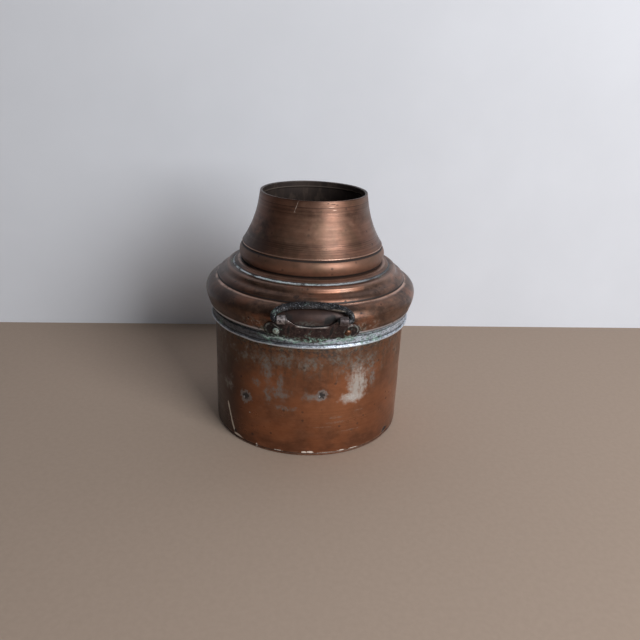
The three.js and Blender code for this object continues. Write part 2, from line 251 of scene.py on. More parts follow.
def makeDrum():
    s = drumSettings
    top, foot = (can["drumRadius"], can["drumTop"]), (can["drumFoot"], can["drumBottom"])
    section = soften(sheetSection(straight(top, foot, s["rows"])), 0.5)
    half = s["lapHalf"]

    def shape(r, z, x, y, side):
        grow = s["waver"] * (waver(x, y, z, 60) + 0.4 * waver(x, y, z, 22))
        grow *= 1 - smooth(135, 146, z)
        for *place, deep in s["dents"]:
            grow -= deep * dented(side, z, *place)
        if r > can["drumFoot"] - 0.5 and z < can["hoopBottom"] - 0.2:
            grow += s["lapRise"] * (1 - smooth(half - 0.25, half, 180 - abs(side)))
        return r + grow, z

    drum = turned("drumWall", section, s["steps"], shape)
    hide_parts("drum_wall")
    return drum


hoopSettings = {"steps": 360, "lapAt": -35.5, "lapRise": 0.55, "hollow": 0.7, "bead": 1.5}


def makeHoop():
    s = hoopSettings
    inner, outside = can["hoopInner"], can["hoopOuter"]
    low, top, bead = can["hoopBottom"], can["hoopTop"], s["bead"]
    outer = [(inner, top), (outside, top)]
    waist = outside - s["hollow"]
    outer += bezier(((outside, top), (waist - 0.2, top - 5), (waist, low + 4.2)), 10)
    outer += arc(waist - 0.05, low + bead, bead, 58, -90, 10)
    outer += [(inner, low)]

    def shape(r, z, x, y, side):
        past = side - s["lapAt"]
        grow = 0.22 * waver(x, y, z, 9) + 0.3 * waver(x, y, z, 30)
        if past > -0.4:
            grow += s["lapRise"] * smooth(-0.4, 0, past) * (1 - smooth(2, 24, past))
        share = smooth(inner, inner + 1.2, r)
        droop = 0.35 * waver(x, y, 0, 26) * (1 - smooth(145, 150, z))
        return r + grow * share, z + droop * share

    hoop = turned("seamHoop", soften(outer, 0.5), s["steps"], shape)
    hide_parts("seam_hoop")
    return hoop


# The hoop's solder is thinner on the left of the front, between the two slopes of degrees
solderSettings = {
    "steps": 420,
    "lump": 0.5,
    "thin": 1.3,
    "thinFrom": (-95, -70),
    "thinTo": (-38, -20),
}


def makeHoopSolder():
    s = solderSettings
    inner, hoop, foot = can["hoopInner"], can["hoopOuter"], can["hoopTop"] + can["gap"] - 0.5
    head, reach = can["lipBottom"] - can["gap"] + 0.4, can["lipRadius"] - 0.9
    outer = [(inner, head), (reach, head)]
    outer += bezier(((reach, head), (hoop + 0.6, head - 0.6), (hoop - 0.1, foot)), 10)
    outer += [(inner, foot)]

    def shape(r, z, x, y, side):
        lump = s["lump"] * (waver(x, y, z, 7) + 0.7 * waver(x, y, z, 3))
        thin = smooth(*s["thinFrom"], side) * (1 - smooth(*s["thinTo"], side))
        return r + (lump - s["thin"] * thin) * smooth(inner, inner + 1.5, r), z

    solder = turned("hoopSolder", outer, s["steps"], shape)
    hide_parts("hoop_solder")
    return solder


# Shares run from the roll to the bulge; the pulls set how full the bulge is
shoulderSettings = {
    "steps": 360,
    "stepShare": 0.26,
    "foldShare": 0.57,
    "upperPull": 0.56,
    "lowerPull": 0.4,
    "lipPull": 0.3,
    "lipOut": 0.42,
    "tones": ((78, 59, 50), (116, 88, 73), (152, 117, 97)),
}


def makeShoulder():
    s = shoulderSettings
    crease, dip, top = can["creaseHeight"], can["creaseDepth"], can["shoulderTop"]
    roll, bulge, skirt = can["rollInner"], can["bulgeRadius"], can["skirtRadius"]
    middle, level, lip = can["bulgeHeight"], can["stepHeight"], (can["lipRadius"], can["lipTop"])
    step, fold = mix(roll, bulge, s["stepShare"]), mix(roll, bulge, s["foldShare"])
    stepIn = step - can["sheet"] / 2
    rise, fall, out = crease - middle, middle - lip[1], bulge - lip[0]
    outer = straight((can["grooveRadius"] - 1.8, top), (roll, top), 5)
    hollow = ((stepIn - 0.5, level + 3.6), (step - 0.3, level + 0.7), (step + 3, level - 0.3))
    outer += bezier(((roll, top), (stepIn - 0.9, top), hollow[0]), 14)
    outer += bezier(hollow, 8)
    outer += bezier((hollow[2], (fold - 2 * dip, level - 1.8), (fold, crease + dip)), 12)
    outer += [(fold - dip / 2, crease), (fold + dip, crease - dip)]
    brow = (mix(fold, bulge, 0.45), crease - 2 * dip)
    outer += bezier((outer[-1], brow, (bulge, middle + rise * s["upperPull"]), (bulge, middle)), 24)
    under = (lip[0] + out * s["lipOut"], lip[1] + fall * s["lipPull"])
    outer += bezier(((bulge, middle), (bulge, middle - fall * s["lowerPull"]), under, lip), 18)
    seat = (skirt, can["lipBottom"] - 0.3)
    outer += [(lip[0] - 0.3, can["lipBottom"]), seat]
    outer += straight(seat, (skirt, can["skirtBottom"]), 4)

    def shape(r, z, x, y, side):
        swell = 0.3 * waver(x, y, z, 45) + 0.1 * waver(x, y, z, 14) - 0.16
        return min(r + swell * smooth(100, 108, r) * smooth(161, 166, z), bulge), z

    shoulder = turned("shoulderShell", soften(sheetSection(outer), 0.45), s["steps"], shape)
    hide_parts("shoulder_shell")
    return shoulder


collarSettings = {"steps": 360, "lump": 0.35, "high": 1.7, "wide": 2.7}


def makeCollarSolder():
    s = collarSettings
    inner, low = can["flangeRadius"] - 0.6, can["flangeBottom"]
    head, foot = (inner, low + s["high"]), (inner + s["wide"], low - 0.5)
    outer = [(inner, low - 0.5), head, *bezier((head, (inner + 0.9, low + 0.5), foot), 8)]

    def shape(r, z, x, y, side):
        lump = s["lump"] * (waver(x, y, z, 9) + 0.6 * waver(x, y, z, 3.5))
        share = smooth(inner, inner + 1, r)
        return r + lump * share, z + 0.4 * lump * share

    solder = turned("collarSolder", outer, s["steps"], shape)
    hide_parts("collar_solder")
    return solder


neckSettings = {
    "steps": 360,
    "waver": 0.22,
    "waist": 0.865,
    "upperPull": 0.33,
    "lowerPull": 0.3,
    "grooveFlat": 0.7,
    "hem": 3,
    "tones": ((98, 71, 58), (119, 88, 72), (138, 106, 90)),
    "inner": ((64, 55, 52), (74, 63, 58), (90, 77, 70)),
}


def makeNeck():
    s = neckSettings
    mouth, top, lean = can["mouthRadius"], can["mouthHeight"], can["hemFlare"]
    hem, ridge, level = can["hemBottom"], can["ridgeRadius"], can["ridgeHeight"]
    groove, low, swell = can["grooveRadius"], can["grooveHeight"], can["mouldingSwell"]
    rim, flare, half = mouth + lean, hem - level, (can["mouldingTop"] - low) / 2
    bend = (half * half + swell * swell) / (2 * swell)
    sweep = math.degrees(math.asin(half / bend))
    outer = [(mouth, top)]
    outer += straight((mouth + 0.25, top - 1.2), (rim, hem), 5)
    throat = (rim + 2 * lean, hem - flare * s["upperPull"])
    waist = (ridge * s["waist"], level + flare * s["lowerPull"])
    outer += bezier(((rim, hem), throat, waist, (ridge, level)), 40)
    outer += [(groove, can["mouldingTop"])]
    outer += arc(groove + swell - bend, low + half, bend, sweep, -sweep, 20)
    flange = (can["flangeRadius"], can["flangeBottom"] + can["sheet"])
    flat = (groove + (flange[0] - groove) * s["grooveFlat"], low)
    outer += bezier(((groove, low), flat, flange), 10)
    section = sheetSection(outer, lambda i: s["hem"] if i < 7 else can["sheet"])

    def shape(r, z, x, y, side):
        grow = s["waver"] * (waver(x, y, z, 40) + 0.35 * waver(x, y, z, 15))
        low = -0.35 * max(0, waver(x, y, 7, 24)) * smooth(296, 300, z)
        return r + grow * smooth(214, 222, z), z + low

    neck = turned("neck", soften(section, 0.5), s["steps"], shape)
    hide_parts("neck")
    return neck


bowSettings = {
    "legSpread": 43,
    "pinRadius": 3.2,
    "bend": 3.5,
    "depth": 18,
    "square": 2.4,
    "widen": 1.28,
    "thicken": 1.02,
    "pinEnd": 28.2,
    "steps": 90,
    "sides": 20,
}


def makeBow(side):
    s = bowSettings
    spread, bend, depth, sides = s["legSpread"], s["bend"], s["depth"], s["sides"]
    leg = spread - bend
    line = straight((-s["pinEnd"], 0), (-leg, 0), 14)
    line += bezier(((-leg, 0), (-spread, 0), (-spread, bend)), 8)
    for i in range(1, s["steps"]):
        angle = math.pi * i / s["steps"]
        c = math.cos(angle)
        x = -math.copysign(spread * abs(c) ** (2 / s["square"]), c)
        line.append((x, bend + (depth - bend) * math.sin(angle) ** (2 / s["square"])))
    line += bezier(((spread, bend), (spread, 0), (leg, 0)), 8)
    line = distinct(line + straight((leg, 0), (s["pinEnd"], 0), 14))
    last = len(line) - 1
    lean = math.radians(hinge["lean"])
    verts = []
    for i, (x, z) in enumerate(line):
        along = (Vector(line[min(i + 1, last)]) - Vector(line[max(i - 1, 0)])).normalized()
        grow = 1 + (s["widen"] - 1) * smooth(bend, depth, z)
        onPin = 1 - smooth(0, 2.5, z)
        for k in range(sides):
            turn = 2 * math.pi * k / sides
            rough = 0.26 * waver(x, z, 9 * math.sin(turn) + side, 5)
            rough += 0.14 * waver(x, z, 5 * turn, 2.2)
            radius = s["pinRadius"] * mix(s["thicken"], 1, onPin) + rough * (1 - onPin)
            flat = radius * math.cos(turn) * grow
            deep, high = radius * math.sin(turn), z + along.x * flat
            back = deep * math.cos(lean) + high * math.sin(lean) - hinge["radius"]
            high = high * math.cos(lean) - deep * math.sin(lean) + hinge["height"]
            verts.append(((x - along.y * flat) * side, back * side, high))
    faces = []
    for near in range(0, last * sides, sides):
        far = near + sides
        for k in range(sides):
            m = (k + 1) % sides
            faces.append((near + k, near + m, far + m, far + k))
    faces += [tuple(range(sides)), tuple(reversed(range(last * sides, len(verts))))]
    name = "front" if side > 0 else "back"
    bow = newPiece(f"{name}Bow", verts, faces, 50)
    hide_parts(f"{name}_handle_bow")
    return bow


plateSettings = {
    "voxel": 0.42,
    "relief": 0.16,
    "facets": 44,
    "lobe": (43.5, 167.1),
    "rim": 7.4,
    "rimWidth": 1.1,
    "rimRise": 0.55,
}


# The plate keeps the solid's form, rounded and hammered
def makePlate(name):
    s = plateSettings
    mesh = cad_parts[f"{name}_handle_plate"].data.copy()
    joined = bmesh.new()
    joined.from_mesh(mesh)
    bmesh.ops.remove_doubles(joined, verts=joined.verts, dist=0.01 * mm)
    joined.to_mesh(mesh)
    joined.free()
    plate = newObject(f"{name}Plate", mesh)
    remesh = plate.modifiers.new("remesh", "REMESH")
    remesh.mode = "VOXEL"
    remesh.voxel_size = s["voxel"] * mm
    soft = plate.modifiers.new("soft", "SMOOTH")
    soft.factor = 0.5
    soft.iterations = 3
    bpy.context.view_layer.update()
    settled = plate.evaluated_get(bpy.context.evaluated_depsgraph_get())
    shaped = bpy.data.meshes.new_from_object(settled)
    plate.modifiers.clear()
    plate.data = shaped
    step = 2 * math.pi / s["facets"]
    normals = [n.vector.copy() for n in shaped.vertex_normals]
    for v, normal in zip(shaped.vertices, normals):
        x, y, z = v.co / mm
        # Below the knuckles the flat facets are pressed to a true round
        angle = math.atan2(x, -y if name == "front" else y)
        off = angle - (math.floor(angle / step) + 0.5) * step
        flat = 1 - smooth(hinge["height"] - 12, hinge["height"] - 8, z)
        scale = mix(1, math.cos(off) / math.cos(step / 2), flat)
        v.co.x *= scale
        v.co.y *= scale
        hammer = s["relief"] * (waver(x, y, z, 6) + 0.6 * waver(x, y, z, 2.5))
        away = math.hypot(abs(x) - s["lobe"][0], z - s["lobe"][1])
        rim = s["rimRise"] * math.exp(-(((away - s["rim"]) / s["rimWidth"]) ** 2))
        v.co += normal * (rim * smooth(26, 32, abs(x)) - abs(hammer)) * mm
    shaped.materials.clear()
    shaped.shade_smooth()
    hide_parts(f"{name}_handle_plate")
    return plate


rivetSettings = {
    "spread": 40.2,
    "drop": 18,
    "shank": 2.1,
    "head": 4.3,
    "headHeight": 2.7,
    "tail": 3.3,
    "tailHeight": 1.7,
    "slope": 7.85 / 22.3,
    "kneeRadius": 126.15,
    "kneeHeight": 157.3,
    "plate": 1.7,
    "seat": 0.3,
    "back": -6.5,
    "steps": 32,
}


def makeRivet(end, hand):
    s = rivetSettings
    seat, back, steps = s["seat"], s["back"], s["steps"]
    height = hinge["height"] - s["drop"]
    face = s["kneeRadius"] + s["plate"] + (height - s["kneeHeight"]) * s["slope"]
    crown, tip = seat + s["headHeight"], back - s["tailHeight"]
    section = bezier(((0.02, crown), (s["head"] * 0.85, crown), (s["head"], seat)), 10)
    section += [(s["shank"], seat), (s["shank"], back)]
    section += bezier(((s["tail"], back), (s["tail"] * 0.8, tip), (0.02, tip)), 8)
    tilt = Matrix.Rotation(math.pi / 2 + math.atan(s["slope"]), 4, "X")
    place = Matrix.Rotation(hand * math.asin(s["spread"] / face), 4, "Z")
    if end < 0:
        place = Matrix.Rotation(math.pi, 4, "Z") @ place
    place = place @ Matrix.Translation((0, -face, height)) @ tilt
    verts = []
    for i in range(steps):
        turn = 2 * math.pi * i / steps
        for r, z in section:
            x, y = r * math.cos(turn), r * math.sin(turn)
            low = 0.3 * waver(x + 7 * hand, y + 5 * end, z, 2.6) * smooth(0.3, 1.5, z)
            wide = 1 + 0.03 * waver(x, y, hand, 3)
            verts.append(tuple(place @ Vector((x * wide, y, z - abs(low)))))
    side, way = "front" if end > 0 else "back", "right" if hand > 0 else "left"
    name = f"{side}Rivet{way.capitalize()}"
    rivet = newPiece(name, verts, quadsRound(len(section), steps, False), 45)
    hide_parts(f"{side}_rivet_{way}")
    return rivet


pieces = {
    "pan": makeBasePan(),
    "drum": makeDrum(),
    "hoop": makeHoop(),
    "hoopSolder": makeHoopSolder(),
    "shoulder": makeShoulder(),
    "collarSolder": makeCollarSolder(),
    "neck": makeNeck(),
}
print("can turned")
bows = {"front": makeBow(1), "back": makeBow(-1)}
plates = {name: makePlate(name) for name in ("front", "back")}
rivets = [makeRivet(end, hand) for end in (1, -1) for hand in (-1, 1)]
print("handles made")

for piece in [*pieces.values(), *plates.values(), *rivets]:
    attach(piece, "can")
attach(bows["front"], "front_bow")
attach(bows["back"], "back_bow")


# Makes a colour of 0 to 255 linear, and dims it by a share
def shade(red, green, blue, share=1):
    out = []
    for c in (red / 255, green / 255, blue / 255):
        out.append(share * (c / 12.92 if c <= 0.04045 else ((c + 0.055) / 1.055) ** 2.4))
    return (*out, 1)


# Short ways to add shader nodes to one tree; a colour is three numbers up to 255
class Nodes:
    def __init__(self, tree):
        self.tree = tree

    def link(self, socket, value):
        if isinstance(value, bpy.types.NodeSocket):
            self.tree.links.new(value, socket)
        else:
            socket.default_value = shade(*value) if isinstance(value, tuple) else value

    def add(self, kind, values=None, **settings):
        node = self.tree.nodes.new(f"ShaderNode{kind}")
        for key, value in settings.items():
            setattr(node, key, value)
        for key, value in (values or {}).items():
            self.link(node.inputs[key], value)
        return node

    def use(self, group, values=None):
        return self.add("Group", values, node_tree=group).outputs

    def calc(self, operation, a, b=0, c=0):
        return self.add("Math", {0: a, 1: b, 2: c}, operation=operation).outputs[0]

    def times(self, *masks):
        out = masks[0]
        for mask in masks[1:]:
            out = self.calc("MULTIPLY", out, mask)
        return out

    def fade(self, value, low, high, start=0, end=1):
        values = {"Value": value, "From Min": low, "From Max": high, "To Min": start, "To Max": end}
        return self.add("MapRange", values, interpolation_type="SMOOTHSTEP").outputs["Result"]

    def span(self, value, low, high, soft):
        rise = self.fade(value, low - soft, low + soft)
        return self.times(rise, self.fade(value, high - soft, high + soft, 1, 0))

    def blend(self, share, a, b):
        node = self.add("Mix", {0: share, 6: a, 7: b}, data_type="RGBA", clamp_result=True)
        return node.outputs[2]

    def mixValue(self, share, a, b):
        return self.add("Mix", {0: share, 2: a, 3: b}, data_type="FLOAT").outputs[0]

    def patches(self, size, low=0.4, high=0.6, seed=0, stretch=1, detail=4, output="Mask"):
        values = {"Size": size, "Stretch": stretch, "Detail": detail}
        return self.use(mottle, {**values, "Low": low, "High": high, "Seed": seed})[output]

    def mark(self, at, high, wide, tall, ragged=0.3, grain=4, slant=0, output="Mask"):
        place = {"Azimuth": at, "Height": high, "Half Width": wide, "Half Height": tall}
        form = {"Slant": slant, "Ragged": ragged, "Grain": grain}
        return self.use(placedMark, {**place, **form})[output]

    # A mark that fades out gradually
    def softMark(self, at, high, wide, tall, ragged=0.5, grain=6, slant=0):
        return self.fade(self.mark(at, high, wide, tall, ragged, grain, slant, "Reach"), 1.4, 0.3)

    # Waves a height line a little, so that edges of bands aren't ruled
    def uneven(self, height, size, reach):
        cloud = self.calc("SUBTRACT", self.patches(size, output="Tone"), 0.5)
        return self.calc("MULTIPLY_ADD", cloud, 2 * reach, height)

    # Degrees from the nearer handle
    def fromHandle(self, azimuth):
        away = self.calc("ABSOLUTE", azimuth)
        return self.calc("MINIMUM", away, self.calc("SUBTRACT", 180, away))


# A node group that takes numbers and gives numbers, or a Color
class Group(Nodes):
    def __init__(self, name, takes, gives):
        super().__init__(bpy.data.node_groups.new(name, "ShaderNodeTree"))
        sockets = self.tree.interface
        for label, default in takes.items():
            socket = sockets.new_socket(label, in_out="INPUT", socket_type="NodeSocketFloat")
            socket.default_value = default
        for label in gives:
            kind = "Color" if label == "Color" else "Float"
            sockets.new_socket(label, in_out="OUTPUT", socket_type=f"NodeSocket{kind}")
        self.take = self.tree.nodes.new("NodeGroupInput").outputs
        self.out = self.tree.nodes.new("NodeGroupOutput").inputs

    def give(self, **values):
        for label, value in values.items():
            self.link(self.out[label], value)
        return self.tree

    def vector(self, operation, a, b, output=0):
        return self.add("VectorMath", {0: a, 1: b}, operation=operation).outputs[output]


# Degrees from the front, height in mm and whether a face looks inwards
def makePlaceGroup():
    g = Group("placeOnCan", {}, ["Azimuth", "Height", "Inside", "Radius"])
    at = g.add("TexCoord").outputs["Object"]
    x, y, z = g.add("SeparateXYZ", {0: at}).outputs
    angle = g.calc("ARCTAN2", x, g.calc("MULTIPLY", y, -1))
    level = g.add("CombineXYZ", {0: x, 1: y}).outputs[0]
    radius = g.add("VectorMath", {0: level}, operation="LENGTH").outputs["Value"]
    facing = g.add("NewGeometry").outputs["True Normal"]
    return g.give(
        Azimuth=g.calc("MULTIPLY", angle, math.degrees(1)),
        Height=g.calc("MULTIPLY", z, 1 / mm),
        Radius=g.calc("MULTIPLY", radius, 1 / mm),
        Inside=g.fade(g.vector("DOT_PRODUCT", facing, level, "Value"), 0, -0.01),
    )


placeOnCan = makePlaceGroup()


# Patches of tone; Stretch above 1 draws them out round the can, below 1 up and down
def makeMottleGroup():
    takes = {"Size": 20, "Stretch": 1, "Detail": 4, "Low": 0.4, "High": 0.6, "Seed": 0}
    g = Group("mottle", takes, ["Mask", "Tone"])
    take = g.take
    at = g.add("TexCoord").outputs["Object"]
    scale = g.calc("DIVIDE", 1 / mm, take["Size"])
    upright = g.calc("MULTIPLY", scale, take["Stretch"])
    sizes = g.add("CombineXYZ", {0: scale, 1: scale, 2: upright}).outputs[0]
    values = {"Vector": g.vector("MULTIPLY", at, sizes), "W": take["Seed"], "Scale": 1}
    values = {**values, "Detail": take["Detail"], "Roughness": 0.6}
    cloud = g.add("TexNoise", values, noise_dimensions="4D").outputs["Fac"]
    return g.give(Mask=g.fade(cloud, take["Low"], take["High"]), Tone=cloud)


mottle = makeMottleGroup()


# One mark at a place on the can, with ragged edges
def makeMarkGroup():
    takes = {"Azimuth": 0, "Height": 0, "Half Width": 3, "Half Height": 3, "Slant": 0}
    g = Group("placedMark", {**takes, "Ragged": 0.5, "Grain": 5}, ["Mask", "Reach"])
    take = g.take
    place = g.use(placeOnCan)
    up = g.calc("SUBTRACT", place["Height"], take["Height"])
    across = g.calc("SUBTRACT", place["Azimuth"], take["Azimuth"])
    across = g.calc("SUBTRACT", across, g.calc("MULTIPLY", up, take["Slant"]))
    across = g.calc("DIVIDE", across, take["Half Width"])
    flat = g.add("CombineXYZ", {0: across, 1: g.calc("DIVIDE", up, take["Half Height"])})
    reach = g.add("VectorMath", {0: flat.outputs[0]}, operation="LENGTH").outputs["Value"]
    cloud = g.patches(take["Grain"], seed=take["Azimuth"], output="Tone")
    frayed = g.calc("MULTIPLY", g.calc("SUBTRACT", cloud, 0.5), take["Ragged"])
    reach = g.calc("MULTIPLY_ADD", frayed, 4, reach)
    return g.give(Reach=reach, Mask=g.fade(reach, 1.15, 0.75))


placedMark = makeMarkGroup()


# Fine lines that run round the can from spinning and polishing
def makeSpinGroup():
    g = Group("spinLines", {"Seed": 0}, ["Lines", "Bands"])
    seed = g.take["Seed"]
    lines = g.patches(160, 0.35, 0.7, seed, 150, 3)
    return g.give(Lines=lines, Bands=g.patches(220, 0.35, 0.7, seed, 36))


spinLines = makeSpinGroup()


def makePitGroup():
    g = Group("pits", {"Size": 3, "Amount": 0.3}, ["Mask"])
    at = g.add("TexCoord").outputs["Object"]
    scale = g.calc("DIVIDE", 1 / mm, g.take["Size"])
    cells = g.add("TexVoronoi", {"Vector": at, "Scale": scale, "Randomness": 1}).outputs
    chance = g.add("SeparateColor", {0: cells["Color"]}).outputs[0]
    kept = g.calc("LESS_THAN", chance, g.take["Amount"])
    return g.give(Mask=g.times(g.fade(cells["Distance"], 0.32, 0.12), kept))


pits = makePitGroup()

# Dark brown for grime, also used for the painted shade at the drum's foot
grimeAndShadeTone = (38, 29, 27)
wornTone = (214, 178, 160)
# Dark tone of the painted shade on the side away from the window
sideShadeTone = (40, 26, 22)
verdigrisTones = {"pale": (158, 182, 170), "green": (92, 132, 114), "deep": (58, 84, 76)}
tinTones = {"pale": (182, 189, 200), "grey": (126, 130, 138), "dim": (78, 81, 87)}


# Green salts that gather in seams and round rivets
def makeVerdigrisGroup():
    g = Group("verdigris", {"Mask": 1, "Size": 5, "Seed": 0}, ["Color", "Amount"])
    take = g.take
    broad = g.patches(take["Size"], 0.42, 0.58, seed=take["Seed"])
    fine = g.patches(1.6, 0.4, 0.62, seed=take["Seed"])
    colour = g.blend(fine, verdigrisTones["deep"], verdigrisTones["green"])
    colour = g.blend(g.times(broad, fine), colour, verdigrisTones["pale"])
    return g.give(Color=colour, Amount=g.times(take["Mask"], broad))


verdigris = makeVerdigrisGroup()


# Grey tin left on the copper in patches and streaks
def makeTinGroup():
    takes = {"Mask": 1, "Size": 14, "Stretch": 0.4, "Low": 0.45, "Seed": 0}
    g = Group("tinResidue", takes, ["Color", "Amount"])
    take = g.take
    low, seed = take["Low"], take["Seed"]
    wide = g.patches(take["Size"], low, g.calc("ADD", low, 0.17), seed, take["Stretch"])
    flecks = g.patches(2.2, 0.38, 0.62, seed, 0.8)
    colour = g.blend(g.patches(7, 0.4, 0.62, seed, 0.6), (90, 84, 77), (140, 136, 128))
    whole = g.calc("MULTIPLY_ADD", flecks, 0.8, 0.15)
    return g.give(Color=colour, Amount=g.times(take["Mask"], wide, whole))


tinResidue = makeTinGroup()


# One material: a ground and the coats laid over it
class Finish(Nodes):
    def __init__(self, name):
        self.material = bpy.data.materials.new(name)
        self.material.use_nodes = True
        super().__init__(self.material.node_tree)
        self.tree.nodes.clear()
        self.shader = self.add("BsdfPrincipled")
        self.add("OutputMaterial", {0: self.shader.outputs[0]})

    def where(self, *names):
        place = self.use(placeOnCan)
        return [place[name] for name in names]

    def copper(self, tones, size, stretch, seed):
        dark, middle, bright = tones
        large = self.patches(size, 0.36, 0.64, seed, stretch)
        small = self.patches(size / 5, 0.42, 0.7, seed + 3, stretch)
        self.colour = self.blend(large, dark, middle)
        self.colour = self.blend(self.times(small, 0.45), self.colour, bright)
        tiny = self.patches(size / 26, 0.4, 0.66, seed + 5)
        self.colour = self.blend(self.times(tiny, 0.14), self.colour, dark)
        self.rough = self.mixValue(small, self.mixValue(large, 0.36, 0.29), 0.4)
        self.metal = 0.86
        self.relief = self.calc("MULTIPLY", small, 0.25)

    def tinned(self, size, seed):
        large = self.patches(size, 0.38, 0.62, seed)
        small = self.patches(size / 4, 0.4, 0.62, seed + 1)
        self.colour = self.blend(large, tinTones["dim"], tinTones["grey"])
        self.colour = self.blend(self.times(small, 0.5), self.colour, tinTones["pale"])
        self.rough = self.mixValue(small, 0.55, 0.38)
        self.metal = 0.7
        self.relief = small

    # Lays one coat where a mask shows, or where all masks of a tuple do
    def coat(self, masks, colour, rough=None, metal=None, lift=0):
        mask = self.times(*masks) if isinstance(masks, tuple) else masks
        self.colour = self.blend(mask, self.colour, colour)
        if rough is not None:
            self.rough = self.mixValue(mask, self.rough, rough)
        if metal is not None:
            self.metal = self.mixValue(mask, self.metal, metal)
        if lift:
            self.relief = self.calc("MULTIPLY_ADD", mask, lift, self.relief)

    def green(self, masks, size, seed):
        mask = self.times(*masks) if isinstance(masks, tuple) else masks
        salts = self.use(verdigris, {"Mask": mask, "Size": size, "Seed": seed})
        self.coat(salts["Amount"], salts["Color"], 0.85, 0.05, 0.5)

    def tin(self, masks, size, stretch, low, seed):
        values = {"Mask": self.times(*masks), "Size": size, "Stretch": stretch}
        left = self.use(tinResidue, {**values, "Low": low, "Seed": seed})
        self.coat(left["Amount"], left["Color"], 0.5, 0.6, 0.15)

    def pitted(self, size, amount, strength, colour=grimeAndShadeTone, rough=0.6, metal=0.5, lift=-0.5):
        spots = self.use(pits, {"Size": size, "Amount": amount})["Mask"]
        self.coat((spots, strength), colour, rough, metal, lift)

    def spun(self, mask, strength, seed):
        lines = self.use(spinLines, {"Seed": seed})
        shown = self.times(lines["Lines"], mask)
        self.coat((shown, strength), (74, 50, 42))
        self.relief = self.calc("MULTIPLY_ADD", shown, 0.5, self.relief)
        self.rough = self.mixValue(self.times(lines["Bands"], mask, 0.5), self.rough, 0.22)

    # Painted shade: the side away from the window is darkened in the colour
    def shadeAwayFromWindow(self, azimuth, share):
        side = self.times(self.fade(azimuth, -22, -56), self.fade(azimuth, -165, -110))
        self.coat((side, share), sideShadeTone)

    # Which part of the seam gets painted light: the window's side, and all but the left front
    def windowLitSide(self, azimuth):
        back = self.fade(self.calc("ABSOLUTE", azimuth), 70, 110, 0, 0.6)
        return self.calc("MAXIMUM", self.fade(azimuth, -26, 18, 0.12), back)

    # The left one of each pair of lobes or rivets, seen from outside
    def leftHand(self, azimuth):
        mirrored = self.calc("MODULO", self.calc("ADD", azimuth, 360), 180)
        return self.fade(mirrored, 90, 100)

    def done(self, strength, depth, film=0):
        values = {"Height": self.relief, "Strength": strength, "Distance": depth * mm}
        bump = self.add("Bump", values).outputs["Normal"]
        shown = {"Base Color": self.colour, "Roughness": self.rough, "Metallic": self.metal}
        shown = {**shown, "Normal": bump, "Coat Weight": film, "Coat Roughness": 0.3}
        for key, value in shown.items():
            self.link(self.shader.inputs[key], value)
        return self.material


def paint(finish, *painted):
    for piece in painted:
        piece.data.materials.clear()
        piece.data.materials.append(finish)


